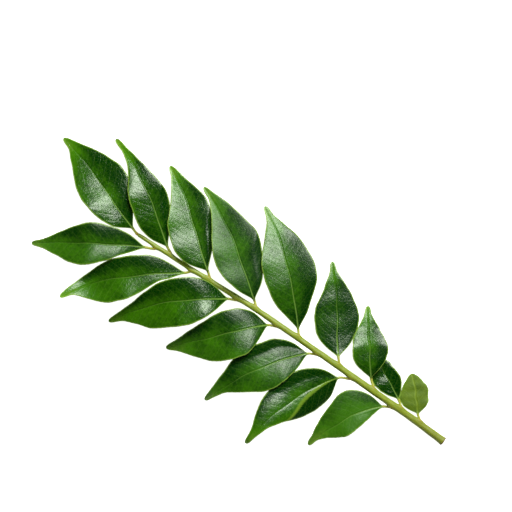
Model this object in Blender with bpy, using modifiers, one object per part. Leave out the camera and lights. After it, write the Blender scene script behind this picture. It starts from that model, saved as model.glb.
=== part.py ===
"""A cut curry leaf sprig, lying on a flat surface.

The sprig is a pinnate leaf: a green rachis with a terminal leaflet and a row of leaflets on each side.
It is modelled with the cut end of the rachis at the start of X, the tip towards +X and the left row
towards +Y, and then moved so that its origin is the middle of the bottom of its box. The leaflets arch
up from the rachis and come down to the surface, each one partly over the next one towards the tip on
the right row, and over the next one towards the cut end on the left row.
"""

from dataclasses import dataclass
from typing import NamedTuple

import bpy
import numpy as np
from mathutils import Vector

MM = 0.001

# The rachis
RACHIS_KNOTS = (0, 14, 33, 58, 87, 114, 139)  # mm from the cut end
RACHIS_SIDEWAYS = (0.3, -0.2, -0.5, -0.95, -1.1, 0.0, 0.6)  # mm towards the left row
RACHIS_HEIGHT = (1.6, 2.6, 5.0, 7.0, 7.6, 7.3, 6.6)  # mm, its middle
RACHIS_RADIUS = (1.5, 1.32, 1.25, 1.15, 1.05, 0.9, 0.7)  # mm
RACHIS_STATIONS = 29
CUT_FLARE = 0.2  # mm added to the radius at the cut end
CUT_FLARE_LENGTH = 1.2  # mm

# The leaflets
BLADE_THICKNESS = 0.45  # mm
STALK_THICKNESS = 0.95  # mm
TOUCHING_GAP = 0.45  # mm between a stalk and the rachis
STALK_ROWS = 3
BLADE_ROWS = 17
HALF_COLUMNS = 4
WIDTHS_AT = (0.0, 0.1, 0.2, 0.35, 0.5, 0.65, 0.8, 0.9, 1.0)  # along a blade
TILTS_AT = (0.0, 0.5, 1.0)  # along a blade
CREASE_AT = (0.0, 0.2, 0.4, 0.6, 0.8)  # along a blade
DROP_BEND = 1.6  # how late a blade comes down
LIFT_START = 0.65  # where along a blade its tip may turn up again
UP = np.array([0.0, 0.0, 1.0])

BLADE_COLOUR = (0.035, 0.11, 0.012, 1.0)
PALE_COLOUR = (0.13, 0.21, 0.035, 1.0)
RACHIS_COLOUR = (0.33, 0.38, 0.07, 1.0)


class Crease(NamedTuple):
    """A line along one half of a blade, beyond which the half turns down. The half is 1 on the left and -1
    on the right. The line is given as shares of the half's width from the midrib, at CREASE_AT."""

    half: int
    turn: float  # degrees
    shares: tuple[float, float, float, float, float]
    soft: float = 0.15  # of the half's width


@dataclass(frozen=True)
class Leaflet:
    """One leaflet. Places are in mm, X from the cut end and Y from the rachis, and directions are in
    degrees from +X. side is 1 on the left row, -1 on the right row and 0 at the tip. left and right are
    half-widths in mm at WIDTHS_AT, without its two ends."""

    name: str
    side: int
    joint: float
    base: tuple[float, float]
    tip: tuple[float, float]
    leaves_at: float
    ends_at: float
    left: tuple[float, ...]
    right: tuple[float, ...]
    crown: float = 4.5  # mm that the midrib arches up
    crest: float = 0.45  # where along the blade the arch is highest
    tip_height: float = 0.2  # mm
    base_rise: float = -0.3  # mm from the middle of the rachis up to the base of the blade
    lift: float = 0.0  # mm that the tip turns up again
    fold: tuple[float, float, float] = (5, 5, 5)  # degrees that both halves rise, at TILTS_AT
    roll: tuple[float, float, float] = (12, 12, 12)  # degrees that the blade turns, its left margin up
    camber: float = 14.0  # degrees that each half turns down between the midrib and its margin
    creases: tuple[Crease, ...] = ()
    end_width: float = 1.15  # mm, its half-width where its tip is rounded off
    pale: bool = False


LEAFLETS = (
    Leaflet(
        "terminal_leaflet", 0, 139.2, (141.5, -0.2), (182.5, -13.5), -19, -11,
        (5.1, 7.2, 9.0, 9.0, 7.1, 3.6, 1.4), (3.6, 6.6, 9.4, 10.1, 7.6, 4.9, 2.7),
        crown=3.0, crest=0.28, base_rise=-0.8, fold=(9.5, 6, 3), roll=(10.5, 8, 2), camber=8.0,
    ),
    Leaflet(
        "left_leaflet_1", 1, 130.0, (133.8, 3.2), (170.2, 26.0), 27, 34,
        (2.3, 3.8, 6.4, 8.1, 7.1, 4.1, 1.9), (3.2, 5.5, 7.5, 7.6, 5.8, 2.9, 1.6),
        crown=6.2, crest=0.5, fold=(5, 10, 9), roll=(0, 7, 7), camber=20.0,
    ),
    Leaflet(
        "left_leaflet_2", 1, 114.3, (116.1, 2.7), (149.1, 36.0), 36, 64,
        (1.7, 2.9, 6.1, 8.2, 8.3, 4.9, 1.7), (3.5, 6.1, 7.8, 7.7, 5.9, 3.3, 2.0),
        crown=5.6, crest=0.48, lift=13.0, fold=(-1, 10, 2), roll=(9, 6, 24), camber=16.0,
    ),
    Leaflet(
        "left_leaflet_3", 1, 94.2, (97.3, 1.6), (129.5, 34.1), 33, 62,
        (4.3, 7.2, 9.1, 9.4, 8.1, 4.5, 2.0), (4.8, 7.6, 8.8, 7.9, 5.7, 2.7, 1.5),
        crown=6.0, crest=0.38, fold=(1, 10, 8), roll=(22, 3, 4), camber=16.0,
    ),
    Leaflet(
        "left_leaflet_4", 1, 76.4, (79.5, 1.4), (106.1, 30.1), 41, 46,
        (4.9, 8.2, 9.7, 9.4, 7.7, 4.4, 2.1), (5.1, 7.6, 8.4, 7.6, 5.6, 3.4, 2.1),
        crown=5.6, crest=0.42, fold=(-5, 7, 6), roll=(19, 5, 6), camber=16.0,
    ),
    Leaflet(
        "left_leaflet_5", 1, 58.0, (61.0, 1.7), (83.0, 38.1), 42, 70,
        (4.0, 6.5, 8.4, 8.4, 5.6, 2.0, 1.1), (4.9, 7.7, 9.0, 8.6, 6.5, 3.9, 2.2),
        crown=7.4, crest=0.62, fold=(3, -4.5, 4), roll=(19, 7.5, 6), camber=16.0,
        creases=(Crease(-1, -30.0, (0.66, 0.62, 0.58, 0.68, 1.5), soft=0.15),),
    ),
    Leaflet(
        "left_leaflet_6", 1, 42.3, (46.4, 2.8), (61.5, 42.3), 50, 84,
        (5.2, 7.1, 8.0, 6.6, 4.2, 1.8, 1.2), (4.9, 7.5, 9.0, 9.0, 6.9, 3.8, 1.8),
        crown=5.6, crest=0.78, tip_height=8.5, fold=(-2, -7, -6), roll=(2, 1, 6), camber=32.0,
        creases=(
            Crease(1, 22.0, (0.0, 0.1, 0.35, 0.95, 1.6)),
            Crease(-1, -26.0, (0.5, 0.55, 0.57, 0.8, 1.5)),
        ),
    ),
    Leaflet(
        "left_leaflet_7", 1, 23.6, (26.5, 2.4), (41.2, 30.1), 40, 76,
        (1.9, 3.3, 5.0, 5.7, 4.5, 1.9, 0.8), (4.5, 7.6, 9.5, 8.3, 6.0, 3.6, 2.0),
        crown=3.8, crest=0.5, fold=(2, 4, 2), roll=(2, 5, 8),
    ),
    Leaflet(
        "right_leaflet_1", -1, 124.4, (126.9, -1.8), (166.0, -24.3), -37, -14,
        (4.8, 7.0, 7.9, 7.0, 4.1, 1.7, 1.1), (2.3, 4.0, 6.3, 6.2, 4.1, 2.0, 1.2),
        crown=4.0, crest=0.55, base_rise=-0.8, fold=(2, 6, 6), roll=(4, 10, 13), camber=10.0,
        creases=(Crease(-1, 35.0, (0.75, 0.58, 0.62, 1.5, 1.8)),),
    ),
    Leaflet(
        "right_leaflet_2", -1, 107.2, (109.4, -2.9), (143.3, -27.4), -37, -24,
        (5.8, 8.8, 9.9, 9.1, 6.7, 3.6, 1.8), (2.6, 5.0, 7.3, 7.8, 6.7, 3.8, 2.1),
        crown=2.6, crest=0.08, tip_height=1.8, base_rise=-1.2, fold=(5, 12, 13), roll=(2, 6, 14), camber=8.0,
        creases=(Crease(-1, 37.0, (0.85, 0.6, 0.64, 1.3, 1.8)),),
    ),
    Leaflet(
        "right_leaflet_3", -1, 86.9, (89.0, -3.8), (128.2, -27.9), -38, -19,
        (4.4, 7.1, 9.1, 8.8, 5.8, 2.8, 1.2), (4.3, 6.6, 8.9, 9.2, 6.9, 4.3, 2.3),
        crown=3.3, crest=0.15, tip_height=5.6, fold=(8, 12, 9), roll=(5, 8, 9),
        creases=(Crease(-1, 26.0, (0.85, 0.64, 0.68, 1.4, 1.8)),),
    ),
    Leaflet(
        "right_leaflet_4", -1, 67.4, (69.2, -4.0), (105.3, -34.9), -49, -27,
        (3.7, 6.8, 8.9, 9.4, 7.9, 4.3, 1.8), (3.5, 6.2, 9.7, 10.1, 7.8, 4.0, 1.8),
        crown=4.3, crest=0.44, tip_height=1.9, lift=2.5, fold=(4, 6, 1), roll=(2, 5, 20), camber=8.0,
    ),
    Leaflet(
        "right_leaflet_5", -1, 48.9, (50.8, -3.8), (72.6, -32.0), -52, -44,
        (4.2, 6.9, 8.6, 8.2, 5.9, 3.2, 1.5), (3.9, 6.4, 8.1, 7.8, 5.6, 3.0, 1.4),
        crown=-1.8, crest=0.3, fold=(-8, 2, 4), roll=(2, 4, 6),
    ),
    Leaflet(
        "right_leaflet_6", -1, 33.2, (36.2, -4.2), (52.0, -25.8), -50, -56,
        (3.0, 5.2, 6.6, 6.3, 4.7, 2.6, 1.3), (3.1, 5.4, 6.8, 6.5, 4.8, 2.6, 1.3),
        crown=2.8, crest=0.4, fold=(6, 6, 4), roll=(4, 4, 6),
    ),
    Leaflet(
        "right_leaflet_7", -1, 20.6, (23.1, -3.3), (43.6, -12.6), -32, -18,
        (2.3, 4.0, 5.4, 5.4, 4.3, 2.6, 1.4), (2.3, 3.7, 4.6, 4.2, 3.1, 1.8, 1.0),
        crown=0.5, fold=(6, 6, 6), roll=(0, 0, 0),
    ),
    Leaflet(
        "right_leaflet_8", -1, 11.6, (13.8, -2.9), (24.1, -14.0), -52, -40,
        (3.0, 4.9, 6.0, 6.1, 5.2, 3.7, 2.4), (2.2, 3.6, 4.7, 4.9, 4.4, 3.2, 2.1),
        crown=0.2, end_width=1.0, fold=(-2, -2, 0), roll=(-4, -5, -2), pale=True,
    ),
)


def smooth_through(knots, values, at):
    """Values along a smooth curve through the knots: a cubic between each pair, with its slopes at the
    knots taken from the knots on each side."""
    knots, values, at = np.asarray(knots, float), np.asarray(values, float), np.asarray(at, float)
    slopes = np.gradient(values, knots)
    i = np.clip(np.searchsorted(knots, at) - 1, 0, len(knots) - 2)
    width = knots[i + 1] - knots[i]
    u = (at - knots[i]) / width
    start = (1 + 2 * u) * (1 - u) ** 2 * values[i] + u * (1 - u) ** 2 * width * slopes[i]
    end = u * u * (3 - 2 * u) * values[i + 1] + u * u * (u - 1) * width * slopes[i + 1]
    return start + end


def smooth_step(x, low, high):
    """A step from 0 at low to 1 at high, level at both ends."""
    s = np.clip((x - low) / (high - low), 0, 1)
    return s * s * (3 - 2 * s)


def rachis_at(x):
    """The middle and the radius of the rachis, in mm, at distances x from the cut end."""
    sideways = smooth_through(RACHIS_KNOTS, RACHIS_SIDEWAYS, x)
    height = smooth_through(RACHIS_KNOTS, RACHIS_HEIGHT, x)
    middle = np.stack([np.asarray(x, float), sideways, height], axis=-1)
    return middle, smooth_through(RACHIS_KNOTS, RACHIS_RADIUS, x)


def bezier(points, t):
    """Points and directions along a cubic Bezier curve."""
    a, b, c, d = (np.asarray(p, float) for p in points)
    t = t[:, None]
    place = (1 - t) ** 3 * a + 3 * (1 - t) ** 2 * t * b + 3 * (1 - t) * t * t * c + t**3 * d
    along = (1 - t) ** 2 * (b - a) + 2 * (1 - t) * t * (c - b) + t * t * (d - c)
    return place, along


def heading(degrees):
    return np.array([np.cos(np.radians(degrees)), np.sin(np.radians(degrees))])


def half_width(t, widths, end_width):
    """A blade's half-width in mm: a smooth curve through its widths, rounded off at the tip, joined to the
    half-width of the stalk at its base."""
    blade = smooth_through(WIDTHS_AT, (0, *widths, end_width), t) * np.sqrt(1 - (0.985 * t) ** 34)
    return np.hypot(blade, STALK_THICKNESS / 2 * (1 - smooth_step(t, 0, 0.12)))


def midline(leaf):
    """The middle line of a leaflet in mm, its directions in plan, and how far along the blade each row
    is. The first rows are its stalk, which leaves the rachis square to it and turns into the midrib."""
    middle, radius = rachis_at(leaf.joint)
    outwards = np.array([1.0 - abs(leaf.side), leaf.side, 0.0])
    start = middle + outwards * (TOUCHING_GAP + abs(leaf.side) * radius)
    first, last = np.array(leaf.base), np.array(leaf.tip)
    length = float(np.linalg.norm(last - first))
    base = np.array([*first, middle[2] + leaf.base_rise])
    drop = leaf.tip_height - base[2]

    handles = (first + heading(leaf.leaves_at) * length / 3, last - heading(leaf.ends_at) * length / 3)
    u = np.linspace(0, 1, BLADE_ROWS)
    t = 0.45 * u + 0.55 * (1 - np.cos(np.pi * u)) / 2
    plan, along = bezier((first, *handles, last), t)
    c = leaf.crest
    arch = ((t / c) ** c * ((1 - t) / (1 - c)) ** (1 - c)) ** 2
    lift = leaf.lift * np.clip((t - LIFT_START) / (1 - LIFT_START), 0, 1) ** 2
    height = base[2] + drop * t**DROP_BEND + leaf.crown * arch + lift

    reach = float(np.linalg.norm(first - start[:2]))
    slope = min(0.35, 3 * leaf.crown / length)
    before = base - np.array([*heading(leaf.leaves_at), slope]) * reach * 0.4
    after = start + outwards * reach * 0.3
    stalk, stalk_along = bezier((start, after, before, base), np.linspace(0, 1, STALK_ROWS, endpoint=False))

    along = np.concatenate([stalk_along[:, :2], along])
    along /= np.linalg.norm(along, axis=1)[:, None]
    path = np.concatenate([stalk, np.column_stack([plan, height])])
    return path, along, np.concatenate([np.full(STALK_ROWS, -1.0), t])


def leaflet_surface(leaf):
    """The middle surface of a leaflet, as (rows, columns, 3) in mm, and each row's thickness.

    Across the blade, each half is an arc that starts at the midrib with its own tilt and turns down by
    the camber, and by a crease's own turn beyond the crease.
    """
    path, along, t = midline(leaf)
    across = np.column_stack([-along[:, 1], along[:, 0], np.zeros(len(along))])
    on_blade = t >= 0
    t = np.clip(t, 0, 1)
    blade = smooth_step(t, 0, 0.09)
    halves = []
    for sign, widths in ((1, leaf.left), (-1, leaf.right)):
        tilt = smooth_through(TILTS_AT, leaf.fold, t) + sign * smooth_through(TILTS_AT, leaf.roll, t)
        wide = np.where(on_blade, half_width(t, widths, leaf.end_width), STALK_THICKNESS / 2)
        places = []
        place = path
        for column in range(HALF_COLUMNS):
            w = (column + 0.5) / HALF_COLUMNS
            turn = tilt + leaf.camber * (0.5 - w)
            for crease in leaf.creases:
                if crease.half == sign:
                    at = smooth_through(CREASE_AT, crease.shares, np.clip(t, 0, CREASE_AT[-1]))
                    turn = turn - crease.turn * smooth_step(w - at, -crease.soft, crease.soft)
            angle = np.radians(turn * blade)
            step_length = (wide / np.cos(angle) / HALF_COLUMNS)[:, None]
            angle = angle[:, None]
            place = place + (across * sign * np.cos(angle) + UP * np.sin(angle)) * step_length
            places.append(place)
        halves.append(places)
    columns = [*halves[0][::-1], path, *halves[1]]
    thickness = BLADE_THICKNESS + (STALK_THICKNESS - BLADE_THICKNESS) * (1 - smooth_step(t, 0, 0.1))
    return np.stack(columns, axis=1), thickness


def plain_material(name, colour, roughness):
    made = bpy.data.materials.new(name)
    made.use_nodes = True
    shader = made.node_tree.nodes["Principled BSDF"]
    shader.inputs["Base Color"].default_value = colour
    shader.inputs["Roughness"].default_value = roughness
    shader.inputs["Metallic"].default_value = 0.0
    return made


def add_rachis(collection, material):
    """The rachis is a tube along a smooth line, thicker towards the cut end and flared at the cut."""
    curve = bpy.data.curves.new("rachis", "CURVE")
    curve.dimensions = "3D"
    curve.bevel_depth = MM
    curve.bevel_resolution = 2
    curve.use_fill_caps = True
    x = RACHIS_KNOTS[-1] * np.linspace(0, 1, RACHIS_STATIONS) ** 1.2
    middle, radius = rachis_at(x)
    radius = radius + CUT_FLARE * np.exp(-x / CUT_FLARE_LENGTH)
    spline = curve.splines.new("POLY")
    spline.points.add(len(x) - 1)
    spline.points.foreach_set("co", np.column_stack([middle * MM, np.ones(len(x))]).ravel())
    spline.points.foreach_set("radius", radius)
    rachis = bpy.data.objects.new("rachis", curve)
    rachis.data.materials.append(material)
    collection.objects.link(rachis)
    return rachis


def add_leaflet(collection, leaf, material):
    """A leaflet is an open grid in the shape of its middle surface, given its thickness by Solidify."""
    surface, thickness = leaflet_surface(leaf)
    rows, columns = surface.shape[:2]
    bpy.ops.mesh.primitive_grid_add(x_subdivisions=columns - 1, y_subdivisions=rows - 1, size=2)
    made = bpy.context.object
    made.name = made.data.name = leaf.name
    mesh = made.data
    flat = np.empty(len(mesh.vertices) * 3)
    mesh.vertices.foreach_get("co", flat)
    flat = flat.reshape(-1, 3)
    column = np.rint((1 - flat[:, 0]) / 2 * (columns - 1)).astype(int)
    row = np.rint((flat[:, 1] + 1) / 2 * (rows - 1)).astype(int)
    mesh.vertices.foreach_set("co", (surface[row, column] * MM).ravel())

    group = made.vertex_groups.new(name="thickness")
    for index, share in enumerate(thickness[row] / STALK_THICKNESS):
        group.add([index], float(share), "REPLACE")
    wall = made.modifiers.new("thickness", "SOLIDIFY")
    wall.thickness = STALK_THICKNESS * MM
    wall.offset = 0.0
    wall.vertex_group = group.name
    mesh.shade_smooth()
    mesh.materials.append(material)
    for other in made.users_collection:
        other.objects.unlink(made)
    collection.objects.link(made)
    return made


def bottom_centre(objects):
    """The middle of the bottom of the box round the objects as they are evaluated."""
    graph = bpy.context.evaluated_depsgraph_get()
    shapes = [part.evaluated_get(graph) for part in objects]
    corners = np.array([shape.matrix_world @ Vector(place) for shape in shapes for place in shape.bound_box])
    low, high = corners.min(axis=0), corners.max(axis=0)
    return Vector(((low[0] + high[0]) / 2, (low[1] + high[1]) / 2, low[2]))


def main():
    for old in list(bpy.data.objects):
        bpy.data.objects.remove(old)
    collection = bpy.data.collections.new("curry_leaf_sprig")
    bpy.context.scene.collection.children.link(collection)

    parts = [add_rachis(collection, plain_material("rachis_green", RACHIS_COLOUR, 0.5))]
    for leaf in LEAFLETS:
        colour = PALE_COLOUR if leaf.pale else BLADE_COLOUR
        parts.append(add_leaflet(collection, leaf, plain_material(leaf.name, colour, 0.38)))

    bpy.context.view_layer.update()
    origin = bpy.data.objects.new("sprig_origin", None)
    collection.objects.link(origin)
    for part in parts:
        part.parent = origin
    origin.location = -bottom_centre(parts)


main()
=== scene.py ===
"""A cut curry leaf sprig lying on a pale floor, seen from straight above.

Every leaflet is one closed skin: a round stalk that flattens into a blade with a midrib, side veins and a
rounded margin. Places along the sprig are worked out in its own frame, in mm, with X from the cut end to
the tip and Y towards the left row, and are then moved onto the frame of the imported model.
"""

import logging
from dataclasses import dataclass
from enum import Enum

import bpy
import numpy as np
from mathutils import Matrix, Vector

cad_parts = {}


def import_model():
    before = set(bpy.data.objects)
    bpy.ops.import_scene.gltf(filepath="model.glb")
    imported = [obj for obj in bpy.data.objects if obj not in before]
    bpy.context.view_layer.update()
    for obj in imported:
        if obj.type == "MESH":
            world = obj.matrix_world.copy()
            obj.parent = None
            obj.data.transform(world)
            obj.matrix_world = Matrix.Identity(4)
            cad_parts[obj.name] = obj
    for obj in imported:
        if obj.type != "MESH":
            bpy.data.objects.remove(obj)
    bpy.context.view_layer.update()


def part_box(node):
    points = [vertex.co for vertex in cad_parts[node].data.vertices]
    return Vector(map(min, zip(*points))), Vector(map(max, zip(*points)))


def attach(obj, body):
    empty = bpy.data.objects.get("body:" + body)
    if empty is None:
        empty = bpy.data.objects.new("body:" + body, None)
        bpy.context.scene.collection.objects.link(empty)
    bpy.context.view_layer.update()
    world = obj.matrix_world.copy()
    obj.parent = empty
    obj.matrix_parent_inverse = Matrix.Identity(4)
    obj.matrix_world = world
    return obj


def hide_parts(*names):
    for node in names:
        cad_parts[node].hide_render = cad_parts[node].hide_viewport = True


Array = np.ndarray
Numbers = tuple[float, ...]
Colour = tuple[float, float, float, float]

MM = 0.001
UP = np.array([0.0, 0.0, 1.0])
WHITE: Colour = (1.0, 1.0, 1.0, 1.0)
BLACK: Colour = (0.0, 0.0, 0.0, 1.0)
BLADE_MARKS = ("along", "from_midrib", "from_margin", "upper", "vein", "tone", "strip", "satin", "midrib")
log = logging.getLogger("sprig")


class Row(Enum):
    """The row that a leaflet stands in, with the side of the rachis that it leaves from."""

    LEFT = 1
    TIP = 0
    RIGHT = -1


class Face(Enum):
    """Which side of a blade is turned up."""

    UPPER = "upper"
    UNDER = "under"


def smooth(x: Array, low: float, high: float) -> Array:
    """A step from 0 at low to 1 at high with level ends, 3s^2 - 2s^3.

    Args:
        x: The values to step over.
        low: Where the step starts.
        high: Where it ends.

    Returns:
        Values from 0 to 1.
    """
    s = np.clip((x - low) / (high - low), 0, 1)
    return s * s * (3 - 2 * s)


def through(knots: Numbers, values: Numbers, at: Array) -> Array:
    """Values along a smooth curve through knots: a cubic between each pair, with the slope at a knot taken
    from the knots on each side of it.

    Args:
        knots: Where the values are given, in rising order.
        values: The value at each knot.
        at: Where to read the curve.

    Returns:
        The curve's values.
    """
    x, y, at = np.asarray(knots, float), np.asarray(values, float), np.asarray(at, float)
    slopes = np.gradient(y, x)
    i = np.clip(np.searchsorted(x, at) - 1, 0, len(x) - 2)
    width = x[i + 1] - x[i]
    u = (at - x[i]) / width
    start = (1 + 2 * u) * (1 - u) ** 2 * y[i] + u * (1 - u) ** 2 * width * slopes[i]
    end = u * u * (3 - 2 * u) * y[i + 1] + u * u * (u - 1) * width * slopes[i + 1]
    return start + end


def ripple(x: Array, seed: int, waves: Numbers) -> Array:
    """A smooth uneven line from -1 to 1: sines of so many waves each over x from 0 to 1, with seeded phases."""
    phases = np.random.default_rng(seed).uniform(0, 2 * np.pi, len(waves))
    return sum(np.sin(2 * np.pi * n * x + p) for n, p in zip(waves, phases)) / len(waves) ** 0.5


def heading(degrees: float) -> Array:
    """The direction in plan at that many degrees from +X."""
    return np.array([np.cos(np.radians(degrees)), np.sin(np.radians(degrees))])


def bezier(points: tuple, t: Array) -> tuple[Array, Array]:
    """A cubic Bezier curve: the four points weighted by (1-t)^3, 3(1-t)^2 t, 3(1-t)t^2 and t^3.

    Args:
        points: The two ends with their two handles between them.
        t: Places along it, from 0 to 1.

    Returns:
        The places on the curve and its directions there, not of unit length.
    """
    a, b, c, d = (np.asarray(p, float) for p in points)
    t = t[:, None]
    place = (1 - t) ** 3 * a + 3 * (1 - t) ** 2 * t * b + 3 * (1 - t) * t * t * c + t**3 * d
    along = (1 - t) ** 2 * (b - a) + 2 * (1 - t) * t * (c - b) + t * t * (d - c)
    return place, along


def eased(count: int) -> Array:
    """Places from 0 to 1 that stand closer together near both ends."""
    u = np.linspace(0, 1, count)
    return 0.45 * u + 0.55 * (1 - np.cos(np.pi * u)) / 2


def skin_mesh(name: str, rings: Array, marks: dict[str, Array]) -> bpy.types.Object:
    """A closed skin over rings of points: squares between neighbouring rings and a fan at each end.

    Args:
        name: The object's name.
        rings: Places in metres, (rings, points in a ring, 3). The first and last ring close to their middle.
        marks: Values to keep on the points, each (rings, points in a ring), by name.

    Returns:
        The new object, at the origin, with its faces pointing out.
    """
    rows, around = rings.shape[:2]
    count = rows * around
    ends = np.stack([rings[0].mean(axis=0), rings[-1].mean(axis=0)])
    places = np.concatenate([rings.reshape(-1, 3), ends])
    index = np.arange(count).reshape(rows, around)
    after = np.roll(index, -1, axis=1)
    squares = np.stack([index[:-1], after[:-1], after[1:], index[1:]], axis=-1).reshape(-1, 4)
    first = np.stack([np.full(around, count), after[0], index[0]], axis=-1)
    last = np.stack([np.full(around, count + 1), index[-1], after[-1]], axis=-1)

    corners = places[squares]
    volume = np.einsum("ij,ij->i", corners[:, 0], np.cross(corners[:, 1], corners[:, 2])).sum()
    volume += np.einsum("ij,ij->i", corners[:, 0], np.cross(corners[:, 2], corners[:, 3])).sum()
    if volume < 0:
        squares, first, last = squares[:, ::-1], first[:, ::-1], last[:, ::-1]

    mesh = bpy.data.meshes.new(name)
    mesh.from_pydata(places.tolist(), [], squares.tolist() + first.tolist() + last.tolist())
    for mark, values in marks.items():
        whole = np.concatenate([values.ravel(), [values[0].mean(), values[-1].mean()]])
        mesh.attributes.new(mark, "FLOAT", "POINT").data.foreach_set("value", whole.astype(np.float32))
    mesh.shade_smooth()
    mesh.update()
    made = bpy.data.objects.new(name, mesh)
    bpy.context.scene.collection.objects.link(made)
    return made


@dataclass(frozen=True)
class Rachis:
    """The central stalk: a tube along a smooth line, with soft ribs, a swelling at each joint and a cut end."""

    knots: Numbers = (0, 14, 33, 58, 87, 114, 139)
    sideways: Numbers = (0.3, -0.2, -0.5, -0.95, -1.1, 0.0, 0.6)
    height: Numbers = (1.6, 2.6, 5.0, 7.0, 7.6, 7.3, 6.6)
    radius: Numbers = (1.5, 1.32, 1.25, 1.15, 1.05, 0.9, 0.7)
    flare: float = 0.2  # mm that the cut end is wider
    flare_length: float = 1.2
    swelling: float = 0.42  # mm towards each leaflet
    stations: int = 420
    around: int = 36
    face_rings: int = 10

    def at(self, x: Array) -> tuple[Array, Array]:
        """The middle and the radius, in mm.

        Args:
            x: Distances from the cut end in mm.

        Returns:
            The places (n, 3) and the radii (n).
        """
        x = np.asarray(x, float)
        middle = np.stack([x, through(self.knots, self.sideways, x), through(self.knots, self.height, x)], axis=-1)
        return middle, through(self.knots, self.radius, x)

    def offset(self) -> Array:
        """What moves the sprig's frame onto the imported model: the difference between the two stalks' boxes.

        Returns:
            The move in mm.
        """
        x = np.linspace(self.knots[0], self.knots[-1], self.stations)
        middle, radius = self.at(x)
        low, high = (np.array(corner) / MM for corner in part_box("rachis"))
        return np.array(
            [
                high[0] - middle[-1, 0],
                (low[1] + high[1] - (middle[:, 1] - radius).min() - (middle[:, 1] + radius).max()) / 2,
                high[2] - (middle[:, 2] + radius).max(),
            ]
        )

    def build(self, joints: list[tuple[float, int]], offset: Array) -> bpy.types.Object:
        """The mesh: circles round the line, whose radius has five faint ribs, a fine grain and a swelling
        towards each leaflet; the circles of the cut face shrink inwards on a shallow dish.

        Args:
            joints: Each leaflet's distance from the cut end in mm, and its side.
            offset: What moves the sprig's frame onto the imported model, in mm.

        Returns:
            The object.
        """
        share = np.linspace(0, 1, self.stations) ** 1.05
        x = self.knots[-1] * share
        middle, radius = self.at(x)
        turn = np.linspace(0, 2 * np.pi, self.around, endpoint=False)
        radius = radius + self.flare * np.exp(-x / self.flare_length) + 0.025 * ripple(share, 4, (9, 17, 31))
        ribs = 1 + 0.028 * np.cos(5 * turn)[None, :] + 0.01 * np.cos(11 * turn + 1.0)[None, :]
        grain = 1 + 0.012 * np.sin(turn * 7 + 3 * ripple(share, 9, (5, 13))[:, None])
        round_it = radius[:, None] * ribs * grain
        node = np.zeros_like(round_it)
        for joint, side in joints:
            near = np.exp(-(((x - joint - 0.3) / 1.5) ** 2))[:, None]
            towards = np.clip(np.cos(turn - (0 if side > 0 else np.pi)), 0, 1)[None, :] ** 1.5
            node = np.maximum(node, near * (0.35 + 0.65 * towards))
            round_it = round_it + self.swelling * near * towards * abs(side)
        tip = np.sqrt(np.clip((x[-1] + 0.05 - x) / 1.0, 0, 1))[:, None]
        round_it = round_it * np.minimum(tip, 1)

        along = np.gradient(middle, axis=0)
        along /= np.linalg.norm(along, axis=1)[:, None]
        across = np.cross(UP, along)
        across /= np.linalg.norm(across, axis=1)[:, None]
        over = np.cross(along, across)
        spokes = across[:, None, :] * np.cos(turn)[None, :, None] + over[:, None, :] * np.sin(turn)[None, :, None]
        tube = middle[:, None, :] + spokes * round_it[..., None]

        shrink = np.linspace(0.02, 0.97, self.face_rings)
        dish = 0.22 * (1 - shrink[::-1] ** 2) + 0.06 * np.sin(9 * shrink)
        uneven = 0.05 * np.sin(3 * turn + 1)[None, :] * shrink[::-1, None]
        dish = (dish[:, None] * np.ones_like(turn) + uneven)[..., None] * along[0]
        face = middle[0] + spokes[0][None] * (round_it[0] * shrink[:, None])[..., None] + dish
        rings = np.concatenate([face, tube])
        cut = np.concatenate([np.ones((self.face_rings, self.around)), np.zeros_like(round_it)])
        core = np.concatenate([shrink[:, None] * np.ones(self.around), np.ones_like(round_it)])
        node = np.concatenate([np.zeros((self.face_rings, self.around)), node])
        distance = np.concatenate([np.zeros(self.face_rings), x])[:, None] * np.ones(self.around)
        marks = {"cut": cut, "core": core, "node": node, "distance": distance}
        marks["turn"] = np.ones((len(rings), 1)) * np.cos(turn)[None, :]
        return skin_mesh("rachis_skin", (rings + offset) * MM, marks)


@dataclass(frozen=True)
class Crease:
    """A line along one half of a blade, beyond which it turns down."""

    sign: int  # 1 on the left half and -1 on the right one
    turn: float  # degrees
    shares: tuple[float, float, float, float, float]  # of the half's width, at five even places along it
    soft: float = 0.12  # of the half's width
    strip: float = 0.0  # mm of the paler band along it

    def at(self, t: Array) -> Array:
        """Where the crease is, as a share of the half's width, at places along the blade."""
        return through((0.0, 0.2, 0.4, 0.6, 0.8), self.shares, np.clip(t, 0, 0.8))

    def beyond(self, t: Array, w: Array) -> Array:
        """Which places along and across the blade lie past the crease: a smooth step from 0 to 1 across it."""
        return smooth(w[None, :] - self.at(t)[:, None], -self.soft, self.soft)

    def band(self, t: Array, w: Array, wide: Array) -> Array:
        """The paler band along the crease: 1 on it and 0 away from it. It is widest a third of the way up.

        Args:
            t: Places along the blade.
            w: Places across it, from 0 at the midrib to 1 at the margin of the crease's half.
            wide: The half-width in mm at each place.

        Returns:
            The band, for each t and w.
        """
        at = self.at(t)[:, None]
        across = (self.strip * np.sin(np.pi * np.clip(t / 0.66, 0, 1)) / 2)[:, None]
        off = np.abs(w[None, :] - at) * wide
        return (across > 0) * (at < 1.2) * smooth(off, across + 0.25, across - 0.1)


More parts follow.
